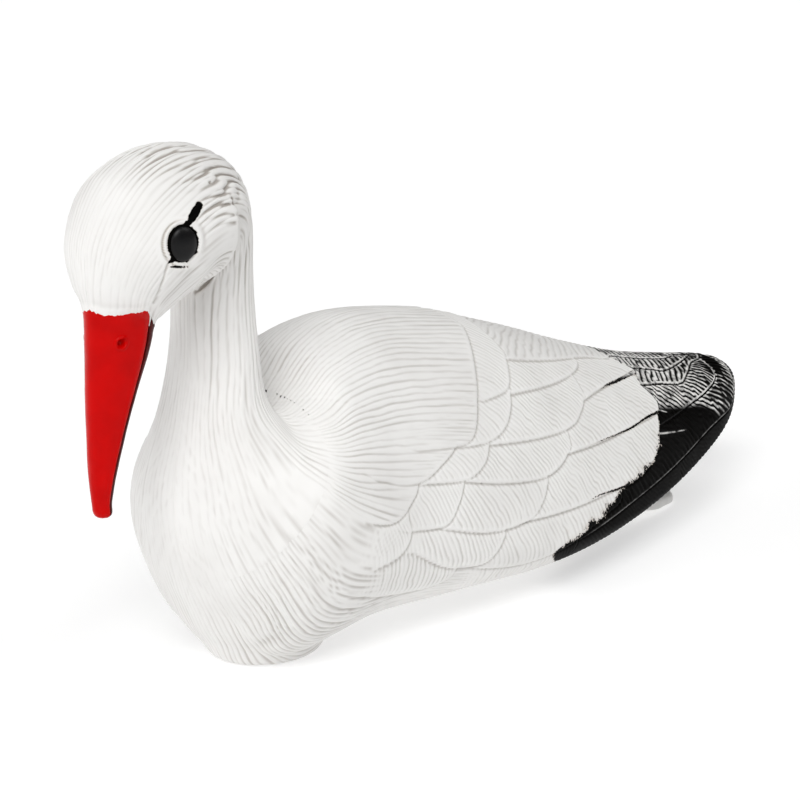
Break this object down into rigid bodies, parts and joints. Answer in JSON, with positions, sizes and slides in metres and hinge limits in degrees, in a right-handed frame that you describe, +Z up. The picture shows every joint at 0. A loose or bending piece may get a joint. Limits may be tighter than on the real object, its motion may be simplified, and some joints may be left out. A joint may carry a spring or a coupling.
{
  "type": "stork decoy",
  "caption": "Hollow moulded white stork decoy, sitting with its bill tucked down, with black wing tips, a red bill and a belly boss with leg sockets.",
  "frame": {"origin": "middle of the flat face under the belly boss, on the bird's centre plane", "axes": "+Z up, the bird looks along -Y with its tail along +Y, and its left side is +X"},
  "size_m": [0.1626, 0.5971, 0.291],
  "materials": {
    "white_plastic": "satin moulded plastic, black sprayed wing tips",
    "red_paint": "glossy red paint over plastic",
    "dark_red_paint": "glossy dark red paint over plastic",
    "black_gloss": "glossy black",
    "tail_plastic": "satin moulded plastic",
    "block_plastic": "plain moulded plastic"
  },
  "bodies": {
    "root": {"left_shell": "white_plastic", "right_shell": "white_plastic", "upper_bill": "red_paint", "lower_bill": "dark_red_paint", "left_eye": "black_gloss", "right_eye": "black_gloss", "tail_fan": "tail_plastic", "leg_block": "block_plastic"}
  },
  "joints": []
}
